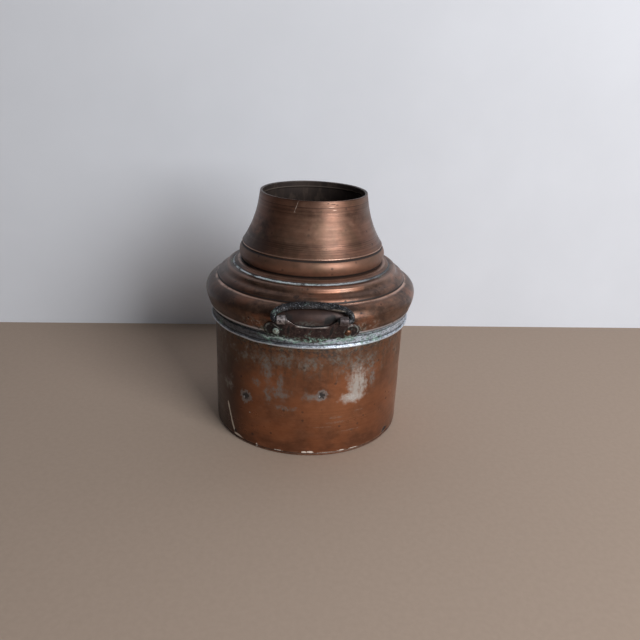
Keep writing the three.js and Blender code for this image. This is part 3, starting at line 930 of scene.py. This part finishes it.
def neckFinish():
    f = Finish("neckCopper")
    azimuth, height, inside, radius = f.where("Azimuth", "Height", "Inside", "Radius")
    f.copper(neckSettings["tones"], 46, 1.4, 1)
    f.rough = f.calc("ADD", f.rough, 0.14)
    f.metal = 0.76
    # Painted shade: the lower neck is darkened where its highlight fades
    f.coat((f.fade(height, 272, 240), f.fade(height, 235, 238), 0.3), (74, 50, 40))
    # Painted shade on the side away from the window
    f.shadeAwayFromWindow(azimuth, 0.88)
    # Painted light left of the highlight, and painted shade on the right past it
    f.coat((f.softMark(-14, 262, 17, 28), 0.45), (156, 122, 102))
    f.coat((f.softMark(62, 262, 20, 34), 0.4), (70, 44, 32))
    f.coat((f.span(height, 218, 234, 2), 0.3), (160, 122, 102))
    high = f.uneven(height, 30, 1)
    f.coat((f.patches(60, 0.45, 0.6, 9, 1.6), 0.45), (150, 106, 86))
    f.coat((f.patches(26, 0.5, 0.64, 12, 0.8), 0.35), (98, 80, 62), 0.34)
    f.spun(f.fade(height, 238, 242), 0.26, 2)
    f.spun(f.span(high, 281, 292, 2), 0.5, 6)
    f.spun(f.span(high, 240, 254, 3), 0.55, 7)
    # Turned lines darkened by polish, the ridge worn bright, with painted shade in the notch under
    # it and in the groove under the moulding
    for line, wide, deep in (
        (250.6, 0.22, 0.6), (246.4, 0.18, 0.7), (241.8, 0.14, 0.5), (287.5, 0.16, 0.6),
        (284.4, 0.14, 0.5), (292.2, 0.3, 0.75),
    ):
        f.coat((f.span(height, line - wide, line + wide, 0.2), deep), (56, 38, 34), 0.5)
    f.coat((f.span(height, 236.8, 238, 0.3), 0.8), (196, 160, 142), 0.3)
    f.coat((f.span(height, 234.2, 236.3, 0.4), 0.95), (30, 22, 21), 0.7, 0.3)
    groove = f.times(f.span(height, 215.4, 219, 0.8), f.span(radius, 82, 88.4, 0.6))
    f.coat((groove, 0.95), (30, 23, 22), 0.7, 0.3)
    f.coat((f.span(radius, 89.8, 92.6, 0.7), f.fade(height, 217, 216), 0.3), wornTone, 0.28)
    seam = f.times(f.fade(radius, 95.5, 96.4), f.fade(height, 217, 214))
    f.coat((seam, 0.5), tinTones["dim"], 0.5, 0.5)
    # Scratches and small knocks
    for *spot, slant in (
        (-18.4, 292.6, 0.3, 7.2, 0.28), (-19.6, 286.5, 0.9, 0.5, 0), (-16.7, 298.4, 0.6, 0.9, 0)
    ):
        scratch = f.times(f.mark(*spot, 0.12, 2, slant), f.patches(2, 0.3, 0.6, 10))
        f.coat((scratch, 0.8), (214, 194, 180), 0.45, 0.4)
    for spot in (
        (18.5, 296.6, 2.6, 0.4), (22.6, 295.4, 1.7, 0.35), (13, 297.3, 1.3, 0.45),
        (-6, 289, 3.4, 0.22), (9, 286, 4, 0.2),
    ):
        f.coat(f.mark(*spot, 0.3, 2), (48, 34, 31), 0.5)
    for spot in ((16.4, 293.4, 3.2, 0.3), (20, 289.8, 2.4, 0.3)):
        f.coat((f.mark(*spot, 0.5, 3), 0.7), (188, 158, 142), 0.35)
    f.pitted(7, 0.12, 0.5)
    f.coat((f.fade(height, 298.2, 299.2), 0.75), (84, 58, 48), 0.42)
    # Inside: dull tin gone brown, with the hem's edge showing
    dark, middle, bright = neckSettings["inner"]
    stain = f.blend(f.patches(22, 0.4, 0.62, 20, 0.4), dark, middle)
    stain = f.blend(f.patches(9, 0.52, 0.66, 22, 0.3), stain, bright)
    f.coat(inside, stain, 0.5, 0.5)
    f.coat((inside, f.span(height, 292, 293.6, 0.4), 0.6), (150, 136, 126), 0.4)
    return f.done(0.3, 0.12, 0.08)


def shoulderFinish():
    f = Finish("shoulderCopper")
    azimuth, height, inside, radius = f.where("Azimuth", "Height", "Inside", "Radius")
    f.copper(shoulderSettings["tones"], 36, 1.4, 7)
    f.coat((f.patches(30, 0.48, 0.62, 15, 1.6), 0.5), (158, 104, 78))
    f.coat((f.patches(19, 0.54, 0.68, 16, 1.6), 0.5), (66, 46, 40), 0.45)
    f.spun(1, 0.24, 4)
    f.metal = 0.82
    f.rough = f.calc("ADD", f.rough, 0.05)
    # Painted shade on the side away from the window
    f.shadeAwayFromWindow(azimuth, 0.7)
    upper = f.fade(height, 195.6, 196.4)
    edge = f.uneven(height, 24, 0.5)
    lip = f.span(edge, 194, 195.3, 0.35)
    f.coat((lip, f.patches(30, 0.34, 0.56, 31), 0.75), wornTone, 0.3)
    # Painted shade in the crease above the lip, and on the band above it
    f.coat((f.span(edge, 195.8, 197.8, 0.5), 0.95), (30, 23, 22), 0.65, 0.3)
    f.coat((f.span(edge, 198, 201, 1.4), 0.35), (70, 50, 44), 0.45)
    f.coat((f.span(radius, 103, 106.4, 0.9), upper, 0.16), wornTone, 0.34)
    # The seat of the collar, stained by solder and salts
    seat = f.fade(radius, 102.2, 98.9)
    f.coat((seat, f.patches(9, 0.38, 0.6, 33), 0.65), (50, 44, 43), 0.6, 0.4)
    f.green((seat, f.patches(34, 0.5, 0.6, 34), 0.7), 5, 5)
    # The foot of the bulge: pale lip, grime above it, salts by the handles
    foot = f.uneven(height, 20, 0.6)
    f.coat((f.span(foot, 161.8, 163.9, 0.4), 0.85), (198, 198, 204), 0.42)
    f.coat((f.span(foot, 164.6, 167, 0.9), 0.4), grimeAndShadeTone, 0.55, 0.5)
    near = f.fromHandle(azimuth)
    byHandle = f.times(f.fade(near, 30, 22), f.fade(foot, 172, 164))
    f.green(byHandle, 6, 8)
    # Painted shade inside the handle's loop, with near-black painted shadow behind the bow at two
    # places
    inLoop = f.times(f.fade(near, 20, 15), f.span(height, 160, 193, 3))
    f.coat((inLoop, 0.8), (50, 38, 39), 0.5, 0.5)
    f.coat((f.softMark(7.5, 181, 3.6, 6.5, 0.8, 5, 0.3), 0.95), (8, 7, 7), 0.8, 0.1)
    f.coat((f.softMark(-12, 184, 2.6, 5), 0.8), (20, 17, 18), 0.75, 0.2)
    film = f.times(f.softMark(-3, 177, 7, 3.6), f.patches(2.4, 0.34, 0.6, 37))
    f.coat((film, 0.7), (96, 98, 94), 0.6, 0.4)
    # Painted shadow in the gap between the plate's lip and the shoulder
    f.coat((f.fade(near, 12, 10), f.span(height, 168, 175.6, 0.4), 0.95), (12, 11, 11), 0.8, 0.2)
    # Painted shadow on the shoulder along the bow's top bar
    for spot in (
        (-5.5, 198.2, 4.4, 2.6), (-9.5, 201.5, 1.6, 1.8), (1.5, 196.6, 3.6, 1.6), (-15, 193, 2.4, 2)
    ):
        f.coat((f.mark(*spot, 0.7, 3), 0.75), (34, 26, 26), 0.6, 0.4)
    rightSide = f.times(f.span(near, 21, 36, 5), f.span(foot, 164, 176, 3))
    f.coat((rightSide, f.patches(9, 0.44, 0.6, 36), 0.5), (150, 96, 66), 0.5)
    f.coat((rightSide, f.patches(3.6, 0.5, 0.6, 35), 0.5), (158, 150, 138), 0.6, 0.4)
    for spot in (
        (-44.9, 208.8, 1.6, 0.9), (-46.5, 206.5, 0.9, 0.6), (-70, 190, 1, 1.2), (118, 206, 1.8, 1)
    ):
        f.green(f.mark(*spot, 0.4, 2), 12, 6)
    f.pitted(6, 0.12, 0.7)
    f.coat(inside, (70, 62, 58), 0.6, 0.5)
    return f.done(0.35, 0.14, 0.08)


# Degrees from the front, height, half width, half height; the scar's parts also slant
drumSettings["marks"] = {
    "scar": [
        (-54.9, 38, 0.95, 7.5, -0.16), (-53, 28, 0.8, 7, -0.17), (-50.8, 16.5, 0.9, 8.5, -0.22),
        (-45.5, 5.4, 3.6, 2.2, -0.8),
    ],
    "clouds": [
        (-39.1, 120, 3.4, 7), (-25.6, 122, 8, 9), (-15, 127, 6, 8), (-1.7, 126, 6.5, 8.5),
        (13, 128, 5, 5.5), (25.4, 122, 8, 11), (37, 116, 4.4, 11),
    ],
    "smears": [(28.4, 97, 6.4, 18), (28.4, 88, 5.6, 14), (26, 76.5, 7.4, 7.6)],
    "streaks": [(-24.6, 107, 2.2, 12), (-24.1, 79, 1.5, 13), (-16.6, 98, 1.3, 11), (39, 96, 2, 12)],
    "dabs": [
        (-16.8, 82, 3.4, 8), (0.8, 80.4, 3.4, 5), (-13.7, 64, 4.4, 3), (-31.4, 90, 1.8, 6),
        (-55, 71, 3.4, 7),
    ],
    "rubs": [
        (15.6, 45.4, 6.2, 1.6), (25.6, 32, 7, 1.1), (16, 52, 4.2, 1.8), (30, 57, 3, 1.2),
        (8, 40, 5, 0.8),
    ],
    "knocks": [(-38.9, 66, 3.7, 8), (6.9, 83, 3, 6.2)],
    "scuffs": [
        (1.7, 5.7, 1.9, 1.6), (-1.8, 5.5, 1.5, 1.4), (20.4, 4.6, 2.6, 1.3), (10, 4, 8, 0.8),
        (28, 4.6, 3, 0.8), (-31, 4, 0.8, 2.2), (-17, 4.6, 2.4, 0.8),
    ],
}


def drumFinish():
    f = Finish("drumCopper")
    azimuth, height, inside = f.where("Azimuth", "Height", "Inside")
    f.copper(drumSettings["tones"], 56, 1.7, 11)
    f.coat((f.patches(70, 0.42, 0.58, 41, 1.4), 0.5), (188, 122, 84))
    f.coat((f.patches(36, 0.5, 0.7, 42, 1.2), 0.22), (92, 60, 45), 0.45)
    # Painted shade on the side away from the window
    f.shadeAwayFromWindow(azimuth, 0.92)
    f.coat((f.softMark(14, 58, 18, 26), 0.4), (190, 130, 94))
    f.spun(f.fade(height, 90, 50), 0.16, 8)
    uprights = f.patches(5, 0.52, 0.64, 43, 0.16)
    f.coat((uprights, f.fade(height, 78, 118), 0.3), (92, 78, 68), 0.45)
    # The upper part dulled, then tin residue from the edge down
    line = f.uneven(height, 40, 22)
    f.coat((f.fade(line, 88, 130), 0.5), (98, 74, 57), 0.5)
    f.tin((f.fade(line, 98, 122), 0.8), 13, 0.9, 0.48, 2)
    f.tin((f.fade(line, 66, 104), 0.6), 8, 0.35, 0.53, 4)
    stain = f.times(f.fade(line, 92, 122), f.patches(6, 0.5, 0.62, 46, 1.3))
    f.coat((stain, 0.38), (62, 50, 45), 0.55, 0.5)
    # Dark mottling under the seam
    under = f.uneven(height, 16, 8)
    soot = f.times(f.fade(under, 126, 141), f.patches(4, 0.46, 0.58, 45, 1.2))
    f.coat((soot, 0.72), (48, 43, 41), 0.6, 0.4, 0.3)
    f.green((f.fade(under, 138, 145), 0.4), 5, 9)
    marks = drumSettings["marks"]
    for at, up, wide, tall in marks["clouds"]:
        cloud = f.times(f.softMark(at, up, wide, tall, 0.8, 8), f.patches(3.2, 0.4, 0.58, at, 0.9))
        f.coat((cloud, 0.85), (118, 112, 105), 0.5, 0.5, 0.2)
    for at, up, wide, tall in marks["smears"]:
        worn = f.softMark(at, up, wide, tall, 0.6)
        strokes = f.times(f.patches(3.2, 0.24, 0.54, at, 0.3), f.patches(3, 0.2, 0.52, up, 3))
        f.coat((worn, strokes, 0.9), (184, 177, 170), 0.5, 0.5, 0.2)
    core = f.times(f.softMark(24.6, 76, 6.4, 5.6, 0.5, 4), f.patches(4, 0.3, 0.55, 5, 3))
    f.coat((core, 0.7), (206, 202, 198), 0.45, 0.5, 0.2)
    for at, up, wide, tall in marks["streaks"] + marks["dabs"]:
        worn = f.softMark(at, up, 1.5 * wide, tall, 0.7)
        f.coat((worn, f.patches(2.6, 0.34, 0.58, up, 0.6), 0.8), (128, 124, 120), 0.5, 0.5, 0.2)
    for at, up, wide, tall in marks["rubs"]:
        worn = f.mark(at, up, wide, tall, 0.5, 5)
        f.coat((worn, f.patches(3, 0.4, 0.6, up, 3), 0.6), (174, 146, 130), 0.4, 0.8)
    ring = f.mark(9, 136, 4.6, 4, 0.9, 3, output="Reach")
    f.coat((f.span(ring, 0.4, 1.1, 0.35), 0.6), (52, 53, 52), 0.6, 0.4)
    # Two knocks with a pale ring and a dark middle
    for at, up, wide, tall in marks["knocks"]:
        reach = f.mark(at, up, wide, tall, 0.5, 3.5, 0.04, output="Reach")
        f.coat((f.fade(reach, 1.3, 0.9), 0.75), (134, 130, 128), 0.5, 0.5)
        f.coat((f.fade(reach, 0.85, 0.4), 0.88), (34, 33, 35), 0.6, 0.4, -0.6)
        # A painted highlight in each knock
        glint = f.mark(at - 0.4 * wide, up - 0.2 * tall, 0.5, 1.4, 0.3, 2)
        f.coat((glint, 0.7), (196, 196, 200), 0.4, 0.6)
    for *spot, slant in marks["scar"]:
        f.coat(f.mark(*spot, 0.3, 3, slant), (222, 212, 198), 0.6, 0.2, -0.4)
    f.coat(f.mark(-48.2, 10, 1.1, 2.8, 0.2, 2), grimeAndShadeTone, 0.8, 0.2, -1)
    f.coat(f.mark(56, 8, 2.6, 4, 0.5, 3, 0.2), (40, 40, 42), 0.7, 0.3, -1)
    f.coat(f.mark(-36, 46.3, 0.45, 0.7, 0.1, 1), (200, 190, 180), 0.6, 0.3)
    # The foot, scuffed down to bright metal in places, with painted shade under the drum's edge and
    # at the very bottom
    sole = f.uneven(height, 14, 2.2)
    scuff = f.times(f.fade(sole, 7, 4.4), f.patches(7, 0.44, 0.6, 47, 3))
    f.coat((scuff, 0.4), (190, 152, 130), 0.42)
    for spot in marks["scuffs"]:
        f.coat(f.mark(*spot, 0.5, 2.4), (228, 214, 202), 0.6, 0.2)
    f.coat((f.span(height, 2.4, 4.3, 0.3), 0.7), grimeAndShadeTone, 0.7, 0.4)
    f.coat((f.fade(height, 1.4, 0.4), 0.8), grimeAndShadeTone, 0.7, 0.4)
    f.pitted(7.5, 0.09, 0.6)
    f.coat(inside, (78, 70, 66), 0.6, 0.5)
    return f.done(0.4, 0.16, 0.05)


def hoopFinish():
    f = Finish("hoopTin")
    azimuth, height = f.where("Azimuth", "Height")
    f.tinned(11, 51)
    bright = f.windowLitSide(azimuth)
    level = f.uneven(height, 18, 1.2)
    # Partly the tin's own dark tone, partly painted shade away from the window's side
    f.coat(f.calc("SUBTRACT", 0.92, f.times(bright, 0.64)), (46, 45, 49), 0.55, 0.5)
    f.coat((f.patches(16, 0.46, 0.6, 52, 3), 0.6), (34, 33, 36), 0.6, 0.4)
    # Painted reflections of the window, pale blue streaks on its side
    reflectionStrips = f.times(f.patches(14, 0.37, 0.5, 53, 5), f.patches(3, 0.34, 0.56, 55, 1.6), bright)
    f.coat((reflectionStrips, 0.85), (212, 223, 238), 0.42)
    f.coat((f.span(level, 148.4, 149.9, 0.6), 0.8), (28, 26, 27), 0.7, 0.3)
    bead = f.times(f.fade(level, 147.2, 146.5), f.patches(20, 0.26, 0.46, 56))
    f.coat((bead, 0.95), (198, 201, 208), 0.38, 0.6)
    near = f.fromHandle(azimuth)
    wave = f.uneven(height, 22, 13)
    salts = f.times(f.fade(near, 30, 22), f.span(wave, 151.4, 155, 0.9))
    f.coat((salts, f.patches(4, 0.42, 0.56, 57), 0.8), verdigrisTones["green"], 0.85, 0.05, 0.5)
    f.coat((salts, f.span(wave, 153.2, 154.8, 0.4), 0.85), (172, 190, 186), 0.85, 0.05, 0.4)
    f.green((f.patches(30, 0.52, 0.62, 54), 0.7), 6, 12)
    return f.done(0.5, 0.3)


def solderFinish():
    f = Finish("solderTin")
    azimuth, height, radius = f.where("Azimuth", "Height", "Radius")
    f.tinned(7, 61)
    bright = f.windowLitSide(azimuth)
    low = f.fade(height, 180, 170)
    shadedSide = f.calc("SUBTRACT", 1, bright)
    # Painted shade on the solder away from the window's side
    f.coat((shadedSide, low, 0.9), (40, 37, 38), 0.7, 0.3)
    # Painted reflection of the window on its side
    f.coat((f.patches(5, 0.42, 0.56, 62, 1.8), bright, 0.75), (186, 200, 214), 0.42)
    f.coat((f.span(height, 160.2, 162, 0.4), 0.8), grimeAndShadeTone, 0.75, 0.2)
    f.coat((f.span(height, 156.6, 158, 0.4), 0.85), (26, 24, 26), 0.75, 0.2)
    f.green((low, f.patches(24, 0.5, 0.6, 64), 0.7), 5, 14)
    # The collar's fillet: a pale line on the left and front, dark where it meets the shoulder
    high = f.fade(height, 205, 208)
    leftSide = f.fade(f.calc("ABSOLUTE", f.calc("ADD", azimuth, 34)), 105, 20, 0.1, 1)
    line = f.times(high, leftSide, f.patches(16, 0.32, 0.5, 63))
    f.coat(high, (48, 41, 40), 0.6, 0.4)
    reach = f.uneven(radius, 7, 0.9)
    f.coat((line, f.span(reach, 96.6, 98.5, 0.3), 0.95), (206, 214, 220), 0.42)
    f.green((line, f.patches(20, 0.5, 0.58, 65), 0.7), 3, 15)
    f.coat((high, f.fade(radius, 98.5, 99), 0.95), (26, 22, 22), 0.7, 0.3)
    return f.done(0.6, 0.35)


def plateFinish():
    f = Finish("plateCopper")
    azimuth, height = f.where("Azimuth", "Height")
    f.copper(((62, 53, 55), (88, 75, 75), (120, 103, 101)), 12, 1, 71)
    f.coat((f.patches(6, 0.5, 0.62, 72), 0.7), (34, 29, 30), 0.6, 0.6)
    leftOne = f.leftHand(azimuth)
    near = f.fromHandle(azimuth)
    lobes = f.fade(near, 13, 15)
    # Painted shade: the left lobe of each pair darkened as a recess in shadow
    f.coat((lobes, leftOne, f.patches(7, 0.32, 0.5, 76), 0.85), (24, 23, 26), 0.6, 0.5)
    # Knuckle tops of pale grey metal, with a painted highlight on the left one
    knuckles = f.times(f.fade(height, 177, 181), f.patches(4, 0.36, 0.54, 73))
    f.coat((knuckles, f.calc("MULTIPLY_ADD", leftOne, 0.65, 0.25)), (158, 150, 150), 0.45, 0.7)
    # Raised rims of the lobes, pale above a dark inner line
    for at in (-19.6, 19.6, 160.4, -160.4):
        reach = f.mark(at, 167.1, 3.5, 7.8, 0.08, 4, output="Reach")
        f.coat((f.span(reach, 0.62, 0.84, 0.06), lobes, 0.7), (24, 21, 22), 0.7, 0.4)
        pale = f.times(f.span(reach, 0.9, 1.12, 0.05), f.patches(5, 0.4, 0.54, at))
        f.coat((pale, lobes, 0.85), (138, 144, 142), 0.55, 0.5)
    # Painted shadow lines beside the knuckles' flaps
    for at, wide in ((9.4, 0.8), (-11.4, 0.6)):
        f.coat((f.mark(at, 170, wide, 7, 0.3, 4, 0.06), 0.9), (14, 12, 13), 0.8, 0.2)
    # A painted highlight on the lip of the dip
    dip = f.fade(near, 8.5, 6)
    f.coat((dip, f.fade(height, 173.2, 174.4), 0.95), (204, 199, 198), 0.4, 0.7)
    # Pointed edges get a painted highlight; the hollows are darkened
    edges = f.add("NewGeometry").outputs["Pointiness"]
    f.coat((f.fade(edges, 0.52, 0.57), 0.55), (158, 142, 134), 0.4, 0.9)
    f.coat((f.fade(edges, 0.48, 0.43), 0.8), (22, 19, 19), 0.8, 0.3)
    low = f.fade(f.uneven(height, 9, 3), 162, 158)
    f.green(low, 4, 16)
    f.green((f.patches(8, 0.57, 0.65, 74), 0.6), 4, 17)
    return f.done(0.6, 0.3)


def ironFinish():
    f = Finish("forgedIron")
    scale = f.patches(5, 0.4, 0.6, 81)
    colour = f.blend(scale, (15, 15, 17), (38, 38, 42))
    colour = f.blend(f.times(f.patches(1.5, 0.56, 0.63, 82), 0.85), colour, (134, 136, 144))
    rough = f.mixValue(scale, 0.46, 0.66)
    f.colour, f.rough, f.metal, f.relief = colour, rough, 0.6, scale
    f.coat((f.patches(9, 0.54, 0.64, 83), 0.5), (56, 46, 41), 0.7, 0.4)
    edges = f.add("NewGeometry").outputs["Pointiness"]
    rubbed = f.times(f.fade(edges, 0.51, 0.57), f.patches(12, 0.5, 0.6, 84))
    f.coat((rubbed, 0.6), (150, 146, 146), 0.38, 0.9)
    # A painted highlight along the bar's lower face on the window's side
    f.coat((f.mark(11.5, 193.4, 4, 1.4, 0.4, 3, -0.2), 0.8), (166, 158, 150), 0.4, 0.8)
    f.pitted(2, 0.55, 0.9, (14, 13, 14), 0.85, 0.3, -1.5)
    f.green((f.patches(14, 0.58, 0.66, 85), 0.4), 3, 18)
    return f.done(0.9, 0.5)


def rivetFinish():
    f = Finish("rivetCopper")
    f.copper(((88, 62, 48), (122, 86, 66), (150, 108, 84)), 5, 1, 91)
    leftOne = f.leftHand(*f.where("Azimuth"))
    f.coat((leftOne, f.patches(2.2, 0.36, 0.52, 93), 0.95), (150, 166, 158), 0.85, 0.1, 0.3)
    f.coat((f.patches(2, 0.5, 0.62, 92), 0.6), grimeAndShadeTone, 0.7, 0.4)
    return f.done(0.5, 0.25)


paint(neckFinish(), pieces["neck"])
paint(shoulderFinish(), pieces["shoulder"])
paint(drumFinish(), pieces["drum"], pieces["pan"])
paint(hoopFinish(), pieces["hoop"])
paint(solderFinish(), pieces["hoopSolder"], pieces["collarSolder"])
paint(plateFinish(), *plates.values())
paint(ironFinish(), *bows.values())
rivetCopper = rivetFinish()
paint(rivetCopper, *rivets)
for name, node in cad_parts.items():
    if "rove" in name:
        for place in node.material_slots:
            place.material = rivetCopper
print("finishes on")

stageSettings = {
    "floor": (173, 153, 137),
    "floorGrain": 6,
    "wall": (230, 233, 240),
    "wallGrain": 300,
    "wallStart": (-4, 0.118),
    "wallEnd": (4, 0.481),
    "wallHeight": 3,
    "reach": 4,
}


def plainFinish(name, colour, grain):
    f = Finish(name)
    tone = f.blend(f.patches(grain, 0.3, 0.7), (*colour, 0.95), colour)
    f.link(f.shader.inputs["Base Color"], tone)
    f.link(f.shader.inputs["Roughness"], 0.9)
    return f


# Lets the wall be looked through from behind
def openBehind(f):
    clear = f.add("BsdfTransparent").outputs[0]
    behind = f.add("NewGeometry").outputs["Backfacing"]
    both = f.add("MixShader", {0: behind, 1: f.shader.outputs[0], 2: clear})
    f.link(f.tree.nodes["Material Output"].inputs[0], both.outputs[0])


def makeSheet(name, corners, f):
    mesh = bpy.data.meshes.new(name)
    mesh.from_pydata(corners, [], [(0, 1, 2, 3)])
    mesh.materials.append(f.material)
    sheet = newObject(name, mesh)


def makeStage():
    s = stageSettings
    left, right, top, reach = s["wallStart"], s["wallEnd"], s["wallHeight"], s["reach"]
    floor = plainFinish("floorCloth", s["floor"], s["floorGrain"])
    wall = plainFinish("wallPaint", s["wall"], s["wallGrain"])
    openBehind(wall)
    corners = [(x * reach, y * reach, 0) for x, y in ((-1, -1), (1, -1), (1, 1), (-1, 1))]
    makeSheet("floor", corners, floor)
    makeSheet("wall", [(*left, 0), (*right, 0), (*right, top), (*left, top)], wall)


windowSettings = {
    "place": (1.22, -1.62, 1.08),
    "aim": (0, 0.1, 0.12),
    "width": 1.15,
    "height": 1.55,
    "power": 47.5,
    "colour": (0.97, 0.985, 1),
}


def makeWindow():
    s = windowSettings
    data = bpy.data.lights.new("window", "AREA")
    data.shape = "RECTANGLE"
    data.size = s["width"]
    data.size_y = s["height"]
    data.energy = s["power"]
    data.color = s["colour"]
    lamp = newObject("window", data)
    lamp.location = s["place"]
    toward = Vector(s["place"]) - Vector(s["aim"])
    lamp.rotation_euler = toward.to_track_quat("Z", "Y").to_euler()


roomSettings = {"colour": (0.94, 0.97, 1, 1), "left": 0.015, "front": 0.095, "right": 0.11}


# A soft room, dim on the left and light on the window's side
def makeRoom():
    world = bpy.data.worlds.new("room")
    bpy.context.scene.world = world
    world.use_nodes = True
    room = Nodes(world.node_tree)
    ground = world.node_tree.nodes["Background"].inputs
    ground["Color"].default_value = roomSettings["colour"]
    toward = room.add("TexCoord").outputs["Generated"]
    across = room.add("SeparateXYZ", {0: toward}).outputs[0]
    front = room.fade(across, -0.95, -0.25, roomSettings["left"], roomSettings["front"])
    level = room.calc("ADD", front, room.fade(across, -0.25, 0.8, 0, roomSettings["right"]))
    room.link(ground["Strength"], level)


# Turn goes round the can, tilt is up from straight down and roll levels the picture
cameraSettings = {
    "lens": 37.125,
    "sensor": 36,
    "near": 0.05,
    "turn": -2.5,
    "place": (0.01394, -0.80257, 0.45196),
    "tilt": 68.175,
    "roll": 2.47,
}


def makeCamera():
    s = cameraSettings
    data = bpy.data.cameras.new("camera")
    data.lens = s["lens"]
    data.sensor_width = s["sensor"]
    data.clip_start = s["near"]
    camera = newObject("camera", data)
    camera.matrix_world = (
        Matrix.Rotation(math.radians(s["turn"]), 4, "Z")
        @ Matrix.Translation(s["place"])
        @ Matrix.Rotation(math.radians(s["tilt"]), 4, "X")
        @ Matrix.Rotation(math.radians(s["roll"]), 4, "Z")
    )
    bpy.context.scene.camera = camera


makeStage()
makeWindow()
makeRoom()
makeCamera()
bpy.context.scene.view_settings.view_transform = "Standard"
print("stage set")
